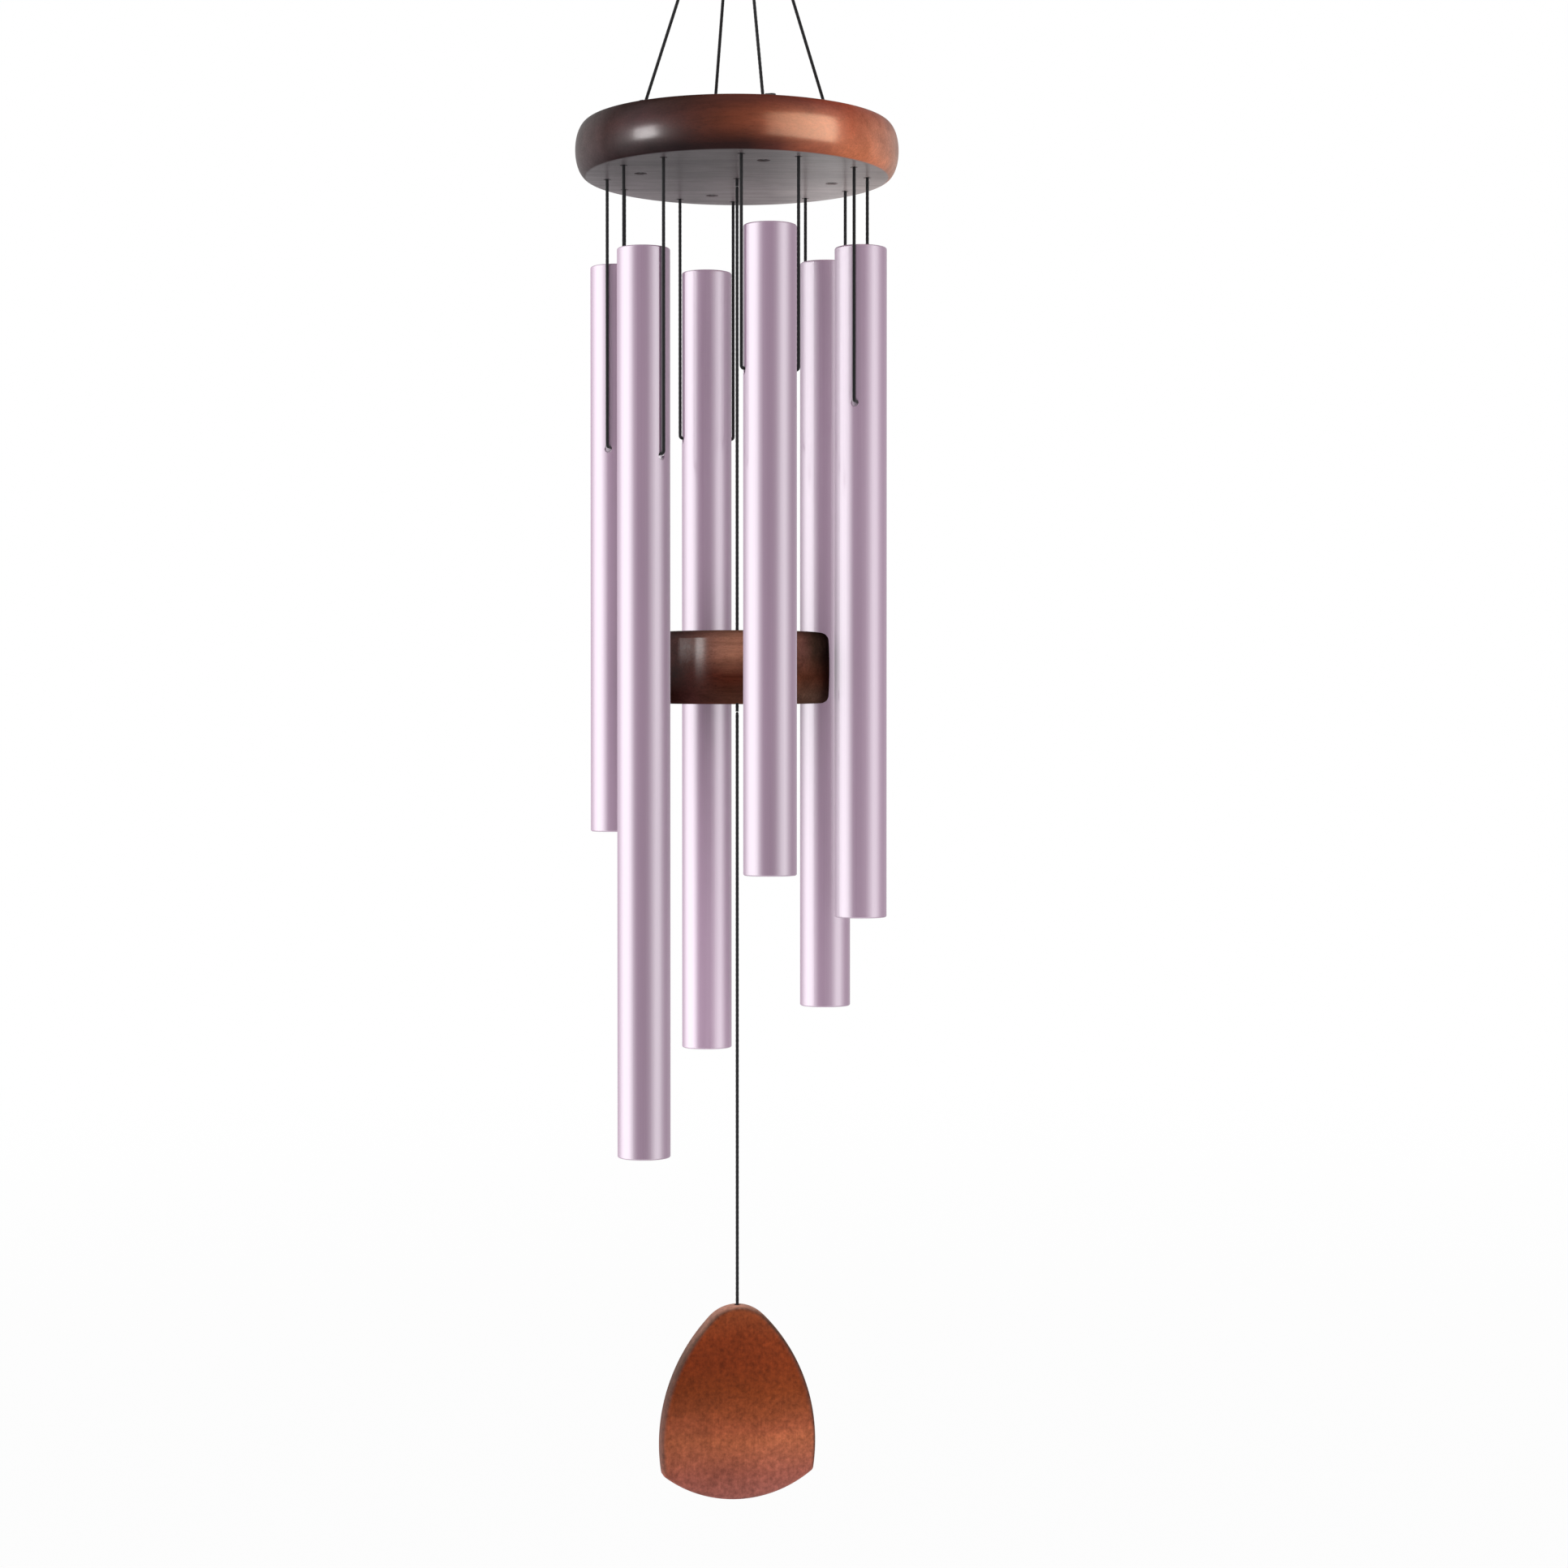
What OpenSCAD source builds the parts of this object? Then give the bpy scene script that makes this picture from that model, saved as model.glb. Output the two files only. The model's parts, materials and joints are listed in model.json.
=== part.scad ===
// Wind chime: six tuned tubes hang in a ring below a round wooden disc, round a
// wooden clapper on the centre cord, with a wooden wind sail at the bottom.
// +Z is up and -Y is the front. The origin is the centre of the hanging ring.

/* [Hanging ring] */
// Diameter of the ring, to the middle of its wire
ring_d = 24; // [20:0.5:30]
// Thickness of the ring's wire
wire_d = 3; // [2.5:0.1:3.5]

/* [Cords] */
// Thickness of every cord
cord_d = 1.6; // [1.2:0.1:1.8]
// Height of the ring's centre above the disc's top
rise = 175; // [140:1:220]

/* [Top disc] */
// Widest diameter of the disc
disc_d = 158.8; // [154:0.2:180]
// Thickness of the disc
disc_t = 26; // [20:0.5:30]
// How far in the rounded edge reaches
edge_in = 6; // [3:0.5:8]
// Diameter of the circle of suspension holes
cord_circle_d = 97.2; // [90:0.2:100]

/* [Tubes] */
// Outside diameter of a tube
tube_d = 25.4; // [22:0.1:26]
// Wall thickness of a tube
tube_wall = 1.6; // [1.2:0.1:2]
// Diameter of the circle that the tubes hang on
tube_circle_d = 125; // [124:0.5:128]
// Length of the longest tube, which sets all the others
longest = 434.5; // [420:0.5:450]

/* [Clapper] */
// Diameter of the clapper
clapper_d = 91; // [70:0.5:92]
// Thickness of the clapper
clapper_t = 34.5; // [20:0.5:40]
// Depth of the clapper's middle below the ring's centre
clapper_at = 441.6; // [420:0.1:470]

/* [Wind sail] */
// Widest width of the sail
sail_w = 77.6; // [70:0.2:84]
// Thickness of the sail
sail_t = 12; // [10:0.5:14]
// Depth of the sail's top below the ring's centre
sail_at = 756; // [740:1:800]
// How far the sail is turned about its cord
sail_turn = 12; // [-45:1:45]

/* [Hidden] */
$fn = 96;

cord_color = [0.08, 0.08, 0.09];
cord_r = cord_d / 2;
gap = 0.05;      // between pieces that rest on each other
end_gap = 0.2;   // between one cord's end and the round end of the next
pivot_gap = 0.1; // between a short top cord and the round end below it
knot_in = 1;     // how far a cord's end runs into its knot
cut = 1;         // how far a cutter passes the face it opens

// top disc
disc_top = -rise;
disc_under = disc_top - disc_t;
hole_r = 1.5; // every cord hole in the disc and the clapper
sink_r = 3;   // counterbores under the suspension holes
sink_t = 5;
stub_z = disc_under + cord_r + end_gap; // where the fixed cords end inside their holes

// hitch and gather knot under the ring
hitch_r = wire_d / 2 + cord_r + 0.06;
gather_top = -ring_d / 2 - hitch_r - cord_r - 0.1;
gather_h = 11.7;
gather_r = 3.47;

// suspension cords, from the gather knot out to their circle and down through the disc
sus_angle = -74.1; // the first cord's angle from +X
sus_r = cord_circle_d / 2;
sus_start_x = 1.6 * cord_r;
sus_start_z = gather_top - gather_h - 0.35;
sus_bend_z = disc_top + 1.5; // where the slanted run meets the upright one
sus_out = sus_r - sus_start_x;
sus_fall = sus_start_z - sus_bend_z;
sus_knot_z = disc_under + sink_t - gap;

// tubes: anticlockwise angle from +X, pitch ratio to the lowest tube, depth of the top
// below the ring's centre, depth of the cord holes as a share of the tube's length
tubes = [
    [165.3, 12 / 5, 242, 0.325],
    [225.3, 1, 242.5, 0.229],
    [105.3, 6 / 5, 238, 0.216],
    [-74.7, 2, 234, 0.224],
    [45.3, 4 / 3, 235.5, 0.224],
    [-14.7, 16 / 9, 237.6, 0.2345]];
tube_r = tube_d / 2;
cross_r = 1.75;          // cord holes across a tube
strand_y = tube_r + 1.3; // each strand passes beside the tube
over_bend_r = 1.6;       // bends of the tie over the disc
through_bend_r = 1.4;    // bends of the cord through the tube

function tube_angle(i) = tubes[i][0];
function tube_len(i) = longest / sqrt(tubes[i][1]);
function tube_top(i) = -tubes[i][2];
function hole_z(i) = tube_top(i) - tubes[i][3] * tube_len(i);
function cord_z(i) = hole_z(i) + cross_r - cord_r - gap;

// clapper, with a recess underneath that hides its knot
clapper_low = -clapper_at - clapper_t / 2;
clapper_edge_r = 4;
recess_r = 3.6;
recess_t = 5.6;
clapper_knot_z = clapper_low + recess_t - gap;
clapper_knot_h = 5;

// pivots down the centre cord
short_l = 4.6; // from each top pivot to the one below
clapper_top_pivot = disc_under;
clapper_pivot = clapper_top_pivot - short_l;
sail_top_pivot = clapper_knot_z - clapper_knot_h - cord_r - end_gap;
sail_pivot = sail_top_pivot - short_l;
sail_top = -sail_at;     // also the mouth of the sail's hole
turn_z = sail_top + 5.5; // where the sail cord twists

// the sail's outline, with y = 0 on its widest line: two side arcs, each centred
// beyond the middle line, a small tip arc on top and a shallow foot arc below
side_r = sail_w * 1.1518;
side_x = side_r - sail_w / 2;
tip_r = sail_w * 0.2421;
tip_y = sqrt(pow(side_r - tip_r, 2) - side_x * side_x);
tip_angle = atan2(tip_y, side_x); // where the tip arc meets the side arc
corner_y = -sail_w * 0.1872;
corner_x = sqrt(side_r * side_r - corner_y * corner_y) - side_x;
foot_sag = sail_w * 0.1702;
foot_r = (corner_x * corner_x + foot_sag * foot_sag) / (2 * foot_sag);
foot_y = corner_y - foot_sag + foot_r;

// points on an arc about [x, y]; skip_first and skip_last drop points at its ends
function arc(x, y, r, from, to, steps, skip_first = 0, skip_last = 0) =
    [for (k = [skip_first:steps - skip_last])
        let (angle = from + (to - from) * k / steps)
        [x + r * cos(angle), y + r * sin(angle)]];

// the outline's right-hand lower corner, where the side and foot circles cross
function sail_corner(inset) =
    let (side = side_r - inset,
        foot = foot_r - inset,
        apart = norm([side_x, foot_y]),
        along = (side * side - foot * foot + apart * apart) / (2 * apart),
        across = sqrt(side * side - along * along),
        dir = [side_x, foot_y] / apart)
    [-side_x, 0] + along * dir + across * [dir[1], -dir[0]];

// clockwise from the left of the tip; points shared by two arcs are listed once
function sail_outline(inset) =
    let (corner = sail_corner(inset),
        side = side_r - inset,
        side_end = atan2(corner[1], corner[0] + side_x),
        foot_end = atan2(corner[1] - foot_y, corner[0]))
    concat(
        arc(0, tip_y, tip_r - inset, 180 - tip_angle, tip_angle, 24),
        arc(-side_x, 0, side, tip_angle, side_end, 24, skip_first = 1),
        arc(0, foot_y, foot_r - inset, foot_end, -180 - foot_end, 24, 1, 1),
        arc(side_x, 0, side, 180 - side_end, 180 - tip_angle, 24, skip_last = 1));

module at_tube(i)
    rotate([0, 0, tube_angle(i)]) translate([tube_circle_d / 2, 0, 0]) children();

module at_suspension(k)
    rotate([0, 0, sus_angle + 90 * k]) children();

// a straight upright cord; a round end adds a dome beyond its z
module upright(z_low, z_high, round_top = false, round_low = false)
    rotate_extrude() polygon(concat(
        round_low ? arc(0, z_low, cord_r, -90, 0, 8) : [[0, z_low], [cord_r, z_low]],
        round_top ? arc(0, z_high, cord_r, 0, 90, 8) : [[cord_r, z_high], [0, z_high]]));

// a cord's round section, set off from the axis that it is swept about
module cord_section(r)
    translate([r, 0]) circle(r = cord_r, $fn = 48);

// a knot about the Z axis, seen as turns of cord stacked down from z_high
module knot(z_high, r, h, turns = 2, steps = 12) {
    turn_r = h / turns / 2;
    rotate_extrude() polygon(concat(
        [[0, z_high]],
        [for (k = [0:turns - 1])
            each arc(r - turn_r, z_high - turn_r * (2 * k + 1), turn_r,
                k == 0 ? 90 : 70, k == turns - 1 ? -90 : -70, steps)],
        [[0, z_high - h]]));
}

// a level run along Y at height z, with a bend at each end that turns down to its
// strand when over is true and up when it is false; the child is the strand
module crossing(z, bend_r, over) {
    for (s = [0, 1]) mirror([0, s, 0]) {
        translate([0, strand_y, 0]) children();
        translate([0, strand_y - bend_r, over ? z - bend_r : z + bend_r])
            rotate([90, 0, 90]) rotate([0, 0, over ? 0 : -90])
            rotate_extrude(angle = 90) cord_section(bend_r);
    }
    translate([0, 0, z]) rotate([90, 0, 0])
        cylinder(r = cord_r, h = 2 * (strand_y - bend_r), center = true);
}

module hanging_ring()
    color([0.72, 0.73, 0.75])
    rotate([90, 0, 0]) rotate_extrude()
        translate([ring_d / 2, 0]) circle(r = wire_d / 2, $fn = 64);

// two loops of cord side by side round the bottom of the ring's wire
module ring_hitch() {
    half_pitch = 0.95 * cord_r;
    color(cord_color)
    for (s = [-1, 1]) rotate([0, s * 360 * half_pitch / (PI * ring_d), 0])
        translate([0, 0, -ring_d / 2]) rotate([0, 90, 0])
        rotate_extrude() cord_section(hitch_r);
}

module gather_knot()
    color(cord_color) knot(gather_top, gather_r, gather_h, turns = 5, steps = 8);

module suspension_cord(k)
    color(cord_color)
    at_suspension(k) {
        translate([sus_r, 0, 0]) {
            upright(sus_knot_z - knot_in, sus_bend_z);
            knot(sus_knot_z, r = 2.2, h = 4);
            // fills the bend
            translate([0, 0, sus_bend_z]) sphere(r = cord_r + 0.04, $fn = 48);
        }
        translate([sus_start_x, 0, sus_start_z])
            rotate([0, 180 - atan2(sus_out, sus_fall), 0])
            cylinder(r = cord_r, h = norm([sus_out, sus_fall]));
    }

// cuts up from below the disc, h into it
module disc_bore(r, h)
    translate([0, 0, disc_under - cut]) cylinder(r = r, h = h + cut);

module top_disc()
    color([0.55, 0.24, 0.1])
    difference() {
        rotate_extrude() polygon(concat(
            [[0, disc_under]],
            [for (t = [-90:6:90])
                [disc_d / 2 - edge_in + edge_in * cos(t),
                    disc_under + disc_t / 2 + disc_t / 2 * sin(t)]],
            [[0, disc_top]]));
        for (k = [0:3]) at_suspension(k) translate([sus_r, 0, 0]) {
            disc_bore(hole_r, disc_t + cut);
            disc_bore(sink_r, sink_t);
        }
        for (i = [0:5], s = [-1, 1]) at_tube(i) translate([0, s * strand_y, 0])
            disc_bore(hole_r, disc_t + cut);
        disc_bore(hole_r, disc_t + cut);
    }

// cord over the disc above a tube, down into two holes, with a knot lying on the run
module tube_tie(i) {
    run_z = disc_top + gap + cord_r;
    knot_r = 1.7;
    knot_l = 6;
    color(cord_color)
    at_tube(i) {
        crossing(run_z, over_bend_r, over = true) upright(stub_z, run_z - over_bend_r);
        translate([0, 0, disc_top + gap + knot_r]) rotate([90, 0, 0])
            knot(knot_l / 2, knot_r, knot_l);
    }
}

// cord from the disc's underside, down both sides of a tube and through its holes
module tube_cord(i)
    color(cord_color)
    at_tube(i)
    crossing(cord_z(i), through_bend_r, over = false)
        upright(cord_z(i) + through_bend_r, disc_under, round_top = true);

module tube(i) {
    l = tube_len(i);
    inner_r = tube_r - tube_wall;
    chamfer = 0.3;
    color([0.62, 0.55, 0.68])
    at_tube(i) difference() {
        translate([0, 0, tube_top(i) - l]) rotate_extrude() polygon([
            [inner_r + chamfer, 0], [tube_r - chamfer, 0],
            [tube_r, chamfer], [tube_r, l - chamfer],
            [tube_r - chamfer, l], [inner_r + chamfer, l],
            [inner_r, l - chamfer], [inner_r, chamfer]]);
        translate([0, 0, hole_z(i)]) rotate([90, 0, 0])
            cylinder(r = cross_r, h = tube_d + 2 * cut, center = true);
    }
}

// knot on the disc's top, with a stub of cord down the centre hole
module center_tie() {
    knot_h = 4.6;
    color(cord_color) {
        knot(disc_top + gap + knot_h, r = 2.4, h = knot_h);
        upright(stub_z, disc_top + gap + knot_in);
    }
}

module clapper_cord_top()
    color(cord_color)
    upright(clapper_pivot + cord_r + pivot_gap, clapper_top_pivot, round_top = true);

module clapper_cord()
    color(cord_color) {
        upright(clapper_knot_z - knot_in, clapper_pivot, round_top = true);
        knot(clapper_knot_z, r = 2.7, h = clapper_knot_h);
    }

module clapper() {
    edge_x = clapper_d / 2 - clapper_edge_r;
    color([0.28, 0.12, 0.06])
    translate([0, 0, clapper_low]) rotate_extrude() polygon(concat(
        [[hole_r, recess_t], [recess_r, recess_t], [recess_r, 0]],
        arc(edge_x, clapper_edge_r, clapper_edge_r, -90, 0, 16),
        arc(edge_x, clapper_t - clapper_edge_r, clapper_edge_r, 0, 90, 16),
        [[hole_r, clapper_t]]));
}

module sail_cord_top()
    color(cord_color)
    upright(sail_pivot + cord_r + pivot_gap, sail_top_pivot, round_top = true);

module sail_cord()
    color(cord_color) upright(turn_z + gap, sail_pivot, round_top = true);

module sail_cord_end()
    color(cord_color) upright(sail_top, turn_z - gap, round_low = true);

// cord down the sail's hole to a knot in the pocket
module sail_tie()
    color(cord_color) {
        upright(sail_top - 9, sail_top - cord_r - end_gap);
        knot(sail_top - 8.4, r = 2, h = 4);
    }

module wind_sail() {
    chamfer = 1;
    hole_depth = 12; // down to the pocket's middle
    pocket_y = -2.5; // the pocket's floor; it opens at the back
    color([0.5, 0.22, 0.11])
    difference() {
        translate([0, 0, sail_top - tip_y - tip_r])
            rotate([0, 0, sail_turn]) rotate([90, 0, 0]) hull() {
            linear_extrude(sail_t, center = true) polygon(sail_outline(chamfer));
            linear_extrude(sail_t - 2 * chamfer, center = true) polygon(sail_outline(0));
        }
        translate([0, 0, sail_top - hole_depth]) cylinder(r = 1.3, h = hole_depth + 2);
        rotate([0, 0, sail_turn]) translate([0, pocket_y, sail_top - hole_depth])
            rotate([-90, 0, 0]) cylinder(r = 4, h = sail_t);
    }
}

hanging_ring();
ring_hitch();
gather_knot();
suspension_cord(0);  // suspension_cord_1
suspension_cord(1);  // suspension_cord_2
suspension_cord(2);  // suspension_cord_3
suspension_cord(3);  // suspension_cord_4
top_disc();
tube_tie(0);  // tube_tie_1
tube_tie(1);  // tube_tie_2
tube_tie(2);  // tube_tie_3
tube_tie(3);  // tube_tie_4
tube_tie(4);  // tube_tie_5
tube_tie(5);  // tube_tie_6
tube_cord(0);  // tube_cord_1
tube_cord(1);  // tube_cord_2
tube_cord(2);  // tube_cord_3
tube_cord(3);  // tube_cord_4
tube_cord(4);  // tube_cord_5
tube_cord(5);  // tube_cord_6
tube(0);  // tube_1
tube(1);  // tube_2
tube(2);  // tube_3
tube(3);  // tube_4
tube(4);  // tube_5
tube(5);  // tube_6
center_tie();
clapper_cord_top();
clapper_cord();
clapper();
sail_cord_top();
sail_cord();
sail_cord_end();
sail_tie();
wind_sail();
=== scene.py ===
# A wind chime. A steel ring holds a turned wooden disc on four cords. The disc carries six
# aluminium tubes round a wooden clapper, and a wooden sail hangs below the clapper.
# Metres, +Z up. The ring is centred on the origin, with everything else hung below it round
# the Z axis. The camera stands on the -Y side, so +X is on its right.
import bpy
import bmesh
import json
import math
import numpy as np
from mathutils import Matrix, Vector


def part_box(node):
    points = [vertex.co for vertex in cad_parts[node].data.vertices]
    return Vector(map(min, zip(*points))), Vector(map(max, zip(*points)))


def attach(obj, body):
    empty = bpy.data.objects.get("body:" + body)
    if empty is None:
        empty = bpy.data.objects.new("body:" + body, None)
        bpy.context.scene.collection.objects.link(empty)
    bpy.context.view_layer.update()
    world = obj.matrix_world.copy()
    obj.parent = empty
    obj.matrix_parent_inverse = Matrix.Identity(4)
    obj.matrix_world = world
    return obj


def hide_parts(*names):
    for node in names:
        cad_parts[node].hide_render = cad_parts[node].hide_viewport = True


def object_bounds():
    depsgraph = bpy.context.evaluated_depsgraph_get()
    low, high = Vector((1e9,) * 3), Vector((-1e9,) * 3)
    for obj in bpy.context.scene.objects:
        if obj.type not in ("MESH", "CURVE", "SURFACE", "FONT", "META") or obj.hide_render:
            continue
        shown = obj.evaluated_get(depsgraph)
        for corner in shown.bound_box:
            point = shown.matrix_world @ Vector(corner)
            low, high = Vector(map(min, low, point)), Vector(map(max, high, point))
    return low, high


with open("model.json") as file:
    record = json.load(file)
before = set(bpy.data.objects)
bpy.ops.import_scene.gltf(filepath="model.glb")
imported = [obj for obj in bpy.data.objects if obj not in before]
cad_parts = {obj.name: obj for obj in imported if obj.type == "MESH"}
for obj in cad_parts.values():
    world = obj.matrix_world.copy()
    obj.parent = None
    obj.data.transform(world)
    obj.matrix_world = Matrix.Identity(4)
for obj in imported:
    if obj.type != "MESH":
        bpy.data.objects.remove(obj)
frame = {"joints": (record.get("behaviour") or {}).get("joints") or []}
cad_box = [list(v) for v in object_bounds()]
scene = bpy.context.scene
MM = 0.001

# ---------------------------------------------------------------- sizes and places

JOINTS = {joint["name"]: Vector(joint["pos_m"]) for joint in frame["joints"]}

low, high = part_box("hanging_ring")
WIRE_R = (high.y - low.y) / 2
RING_R = (high.x - low.x) / 2 - WIRE_R       # to the middle of the wire

low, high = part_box("gather_knot")
GATHER_LO, GATHER_HI = low.z, high.z

low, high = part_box("top_disc")
DISC_R = (high.x - low.x + high.y - low.y) / 4 + 0.05 * MM
DISC_LO, DISC_HI = low.z, high.z

low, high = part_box("clapper")
CLAP_R, CLAP_LO, CLAP_HI = (high.x - low.x) / 2, low.z, high.z

low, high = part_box("wind_sail")
SAIL_LO, SAIL_HI = low.z, high.z
SAIL_TURN = math.radians(12)                 # about Z
SAIL_W, SAIL_T = 77.6 * MM, 12 * MM

CORD_R = 0.8 * MM
CORD_HOLE_R = 1.5 * MM
SUSPENSION_R = 48.6 * MM                     # circle of the suspension holes
SUSPENSION_ANGLES = [math.radians(-74.1 + 90 * k) for k in range(4)]
COUNTERBORE_R, COUNTERBORE_DEPTH = 3 * MM, 5 * MM

TUBE_R, TUBE_IN = 12.7 * MM, 11.1 * MM
STRAND = 14.0 * MM                           # from a tube's axis to each strand of its cord
TUBES = []
for k in range(1, 7):
    swing = JOINTS[f"cord_{k}_swing"]
    low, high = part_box(f"tube_{k}")
    TUBES.append(dict(number=k, x=swing.x, y=swing.y, angle=math.atan2(swing.y, swing.x),
                      low=low.z, top=high.z, cord_z=JOINTS[f"tube_{k}_rock"].z))

# ---------------------------------------------------------------- mesh helpers


def shade(mesh, sharp_angle):
    """Smooth shading, with edges sharper than sharp_angle degrees kept. 180 keeps none."""
    mesh.polygons.foreach_set("use_smooth", [True] * len(mesh.polygons))
    if sharp_angle < 180:
        mesh.set_sharp_from_angle(angle=math.radians(sharp_angle))
    mesh.update()


def new_mesh(name, verts, faces, material, sharp_angle=30.0):
    mesh = bpy.data.meshes.new(name)
    mesh.from_pydata([tuple(v) for v in verts], [], [tuple(f) for f in faces])
    mesh.update()
    ob = bpy.data.objects.new(name, mesh)
    scene.collection.objects.link(ob)
    if material is not None:
        mesh.materials.append(material)
    bm = bmesh.new()
    bm.from_mesh(mesh)
    bmesh.ops.recalc_face_normals(bm, faces=bm.faces)
    bm.to_mesh(mesh)
    bm.free()
    shade(mesh, sharp_angle)
    return ob


def revolve(profile, segments, at=(0, 0, 0), axes=None, closed=False):
    """A profile of (radius, height) turned about Z, or about the third of the given axes."""
    verts, rows = [], []
    for r, z in profile:
        if r < 1e-9:
            rows.append([len(verts)])
            verts.append((0.0, 0.0, z))
        else:
            rows.append(list(range(len(verts), len(verts) + segments)))
            for i in range(segments):
                turn = 2 * math.pi * i / segments
                verts.append((r * math.cos(turn), r * math.sin(turn), z))
    pairs = list(zip(rows[:-1], rows[1:]))
    if closed:
        pairs.append((rows[-1], rows[0]))
    faces = []
    for one, two in pairs:
        for i in range(segments):
            j = (i + 1) % segments
            if len(one) == 1:
                faces.append((one[0], two[i], two[j]))
            elif len(two) == 1:
                faces.append((one[i], one[j], two[0]))
            else:
                faces.append((one[i], one[j], two[j], two[i]))
    verts = np.array(verts)
    if axes is not None:
        verts = verts @ np.array(axes)
    return verts + np.array(at), faces


def arc(x, y, radius, angles):
    """Points of an arc round (x, y), at angles in radians."""
    return [(x + radius * math.cos(a), y + radius * math.sin(a)) for a in angles]


def fillet(r, z, radius, start, end, steps):
    """A profile's arc round (r, z), from start to end in degrees."""
    return arc(r, z, radius,
               [math.radians(start + (end - start) * k / steps) for k in range(steps + 1)])


def grid_faces(rows, columns, count):
    """Quads between rows of vertices closed on themselves; count == rows closes the last."""
    return [(i * columns + j, (i + 1) % rows * columns + j,
             (i + 1) % rows * columns + (j + 1) % columns, i * columns + (j + 1) % columns)
            for i in range(count) for j in range(columns)]


def join_parts(parts):
    verts, faces, base = [], [], 0
    for part_verts, part_faces in parts:
        verts.append(np.asarray(part_verts))
        faces += [tuple(i + base for i in face) for face in part_faces]
        base += len(part_verts)
    return np.concatenate(verts), faces


def cut(ob, cutters, name):
    """Takes the cutters out of ob, and removes them."""
    cutter = new_mesh(name, *join_parts(cutters), None)
    mod = ob.modifiers.new("holes", "BOOLEAN")
    mod.operation, mod.solver, mod.object = "DIFFERENCE", "EXACT", cutter
    depsgraph = bpy.context.evaluated_depsgraph_get()
    done = bpy.data.meshes.new_from_object(ob.evaluated_get(depsgraph), depsgraph=depsgraph)
    ob.modifiers.remove(mod)
    old = ob.data
    ob.data = done
    bpy.data.meshes.remove(old)
    bpy.data.objects.remove(cutter)


# ---------------------------------------------------------------- cord helpers

BRAID_SIDES = 16
BRAID_STEP = 0.32 * MM
FINE_STEP = 0.25 * MM       # for tight loops
BRAID_PITCH = 2.5 * MM
BRAID_RELIEF = 0.085        # depth of the gaps between yarns, as a share of the radius


def resample(points, step):
    """Even points along a path, and their distances from its start."""
    points = np.asarray(points, float)
    lengths = np.linalg.norm(np.diff(points, axis=0), axis=1)
    known = np.concatenate([[0], np.cumsum(lengths)])
    count = max(4, int(round(known[-1] / step)))
    along = np.linspace(0, known[-1], count + 1)
    return np.stack([np.interp(along, known, points[:, c]) for c in range(3)], 1), along


def round_path(points, radius, steps=10):
    """A polyline with each inner corner turned into an arc."""
    points = [np.array(p, float) for p in points]
    out = [points[0]]
    for before, corner, after in zip(points, points[1:], points[2:]):
        back = (before - corner) / np.linalg.norm(before - corner)
        ahead = (after - corner) / np.linalg.norm(after - corner)
        half = math.acos(float(back @ ahead)) / 2
        reach = radius / math.tan(half)
        middle = (back + ahead) / np.linalg.norm(back + ahead)
        centre = corner + middle * (radius / math.sin(half))
        first, last = corner + back * reach - centre, corner + ahead * reach - centre
        size = np.linalg.norm(first) * np.linalg.norm(last)
        angle = math.acos(float(first @ last) / size)
        for k in range(steps + 1):
            t = k / steps
            blend = first * math.sin((1 - t) * angle) + last * math.sin(t * angle)
            out.append(centre + blend / math.sin(angle))
    out.append(points[-1])
    return np.array(out)


def braid(points, closed=False, step=BRAID_STEP, round_start=False, round_end=False, phase=0.0):
    """A braided cord along a path: two families of yarns cross and stand out of its surface."""
    path, along = resample(points, step)
    wave = 2 * math.pi / BRAID_PITCH
    if closed:
        path, along = path[:-1], along[:-1]
        tangent = np.roll(path, -1, 0) - np.roll(path, 1, 0)
        length = along[-1] + step
        wave = 2 * math.pi * round(length / BRAID_PITCH) / length
    else:
        tangent = np.gradient(path, axis=0)
    tangent /= np.linalg.norm(tangent, axis=1)[:, None]
    rows, sides = len(path), BRAID_SIDES

    # a normal carried along the path without twist
    start = np.array([1.0, 0, 0]) if abs(tangent[0][0]) < 0.8 else np.array([0, 1.0, 0])
    carried = start - tangent[0] * (start @ tangent[0])
    carried /= np.linalg.norm(carried)
    normal = np.zeros_like(path)
    for i in range(rows):
        carried = carried - tangent[i] * (carried @ tangent[i])
        carried /= np.linalg.norm(carried)
        normal[i] = carried
    binormal = np.cross(tangent, normal)

    around = 2 * np.pi * np.arange(sides) / sides
    yarns = np.maximum(np.cos(4 * around[None, :] + wave * along[:, None] + phase),
                       np.cos(4 * around[None, :] - wave * along[:, None] + phase))
    radius = CORD_R * (1 - BRAID_RELIEF * (1 - yarns) / 2)
    outward = (normal[:, None, :] * np.cos(around)[None, :, None]
               + binormal[:, None, :] * np.sin(around)[None, :, None])
    verts = list((path[:, None, :] + outward * radius[:, :, None]).reshape(-1, 3))
    faces = grid_faces(rows, sides, rows if closed else rows - 1)
    if closed:
        return np.array(verts), faces

    for at, way, rounded in ((0, -1, round_start), (rows - 1, 1, round_end)):
        rim = [at * sides + j for j in range(sides)]
        for lift in (22.5, 45, 67.5) if rounded else ():
            inward, rise = math.cos(math.radians(lift)), math.sin(math.radians(lift))
            ring = [len(verts) + j for j in range(sides)]
            for j in range(sides):
                verts.append(path[at] + outward[at, j] * radius[at, j] * inward
                             + tangent[at] * way * CORD_R * rise)
            for j in range(sides):
                j2 = (j + 1) % sides
                faces.append((rim[j], rim[j2], ring[j2], ring[j]) if way < 0
                             else (rim[j], ring[j], ring[j2], rim[j2]))
            rim = ring
        tip = len(verts)
        verts.append(path[at] + tangent[at] * way * (CORD_R if rounded else 0.02 * MM))
        for j in range(sides):
            j2 = (j + 1) % sides
            faces.append((rim[j], rim[j2], tip) if way < 0 else (rim[j], tip, rim[j2]))
    return np.array(verts), faces


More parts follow.
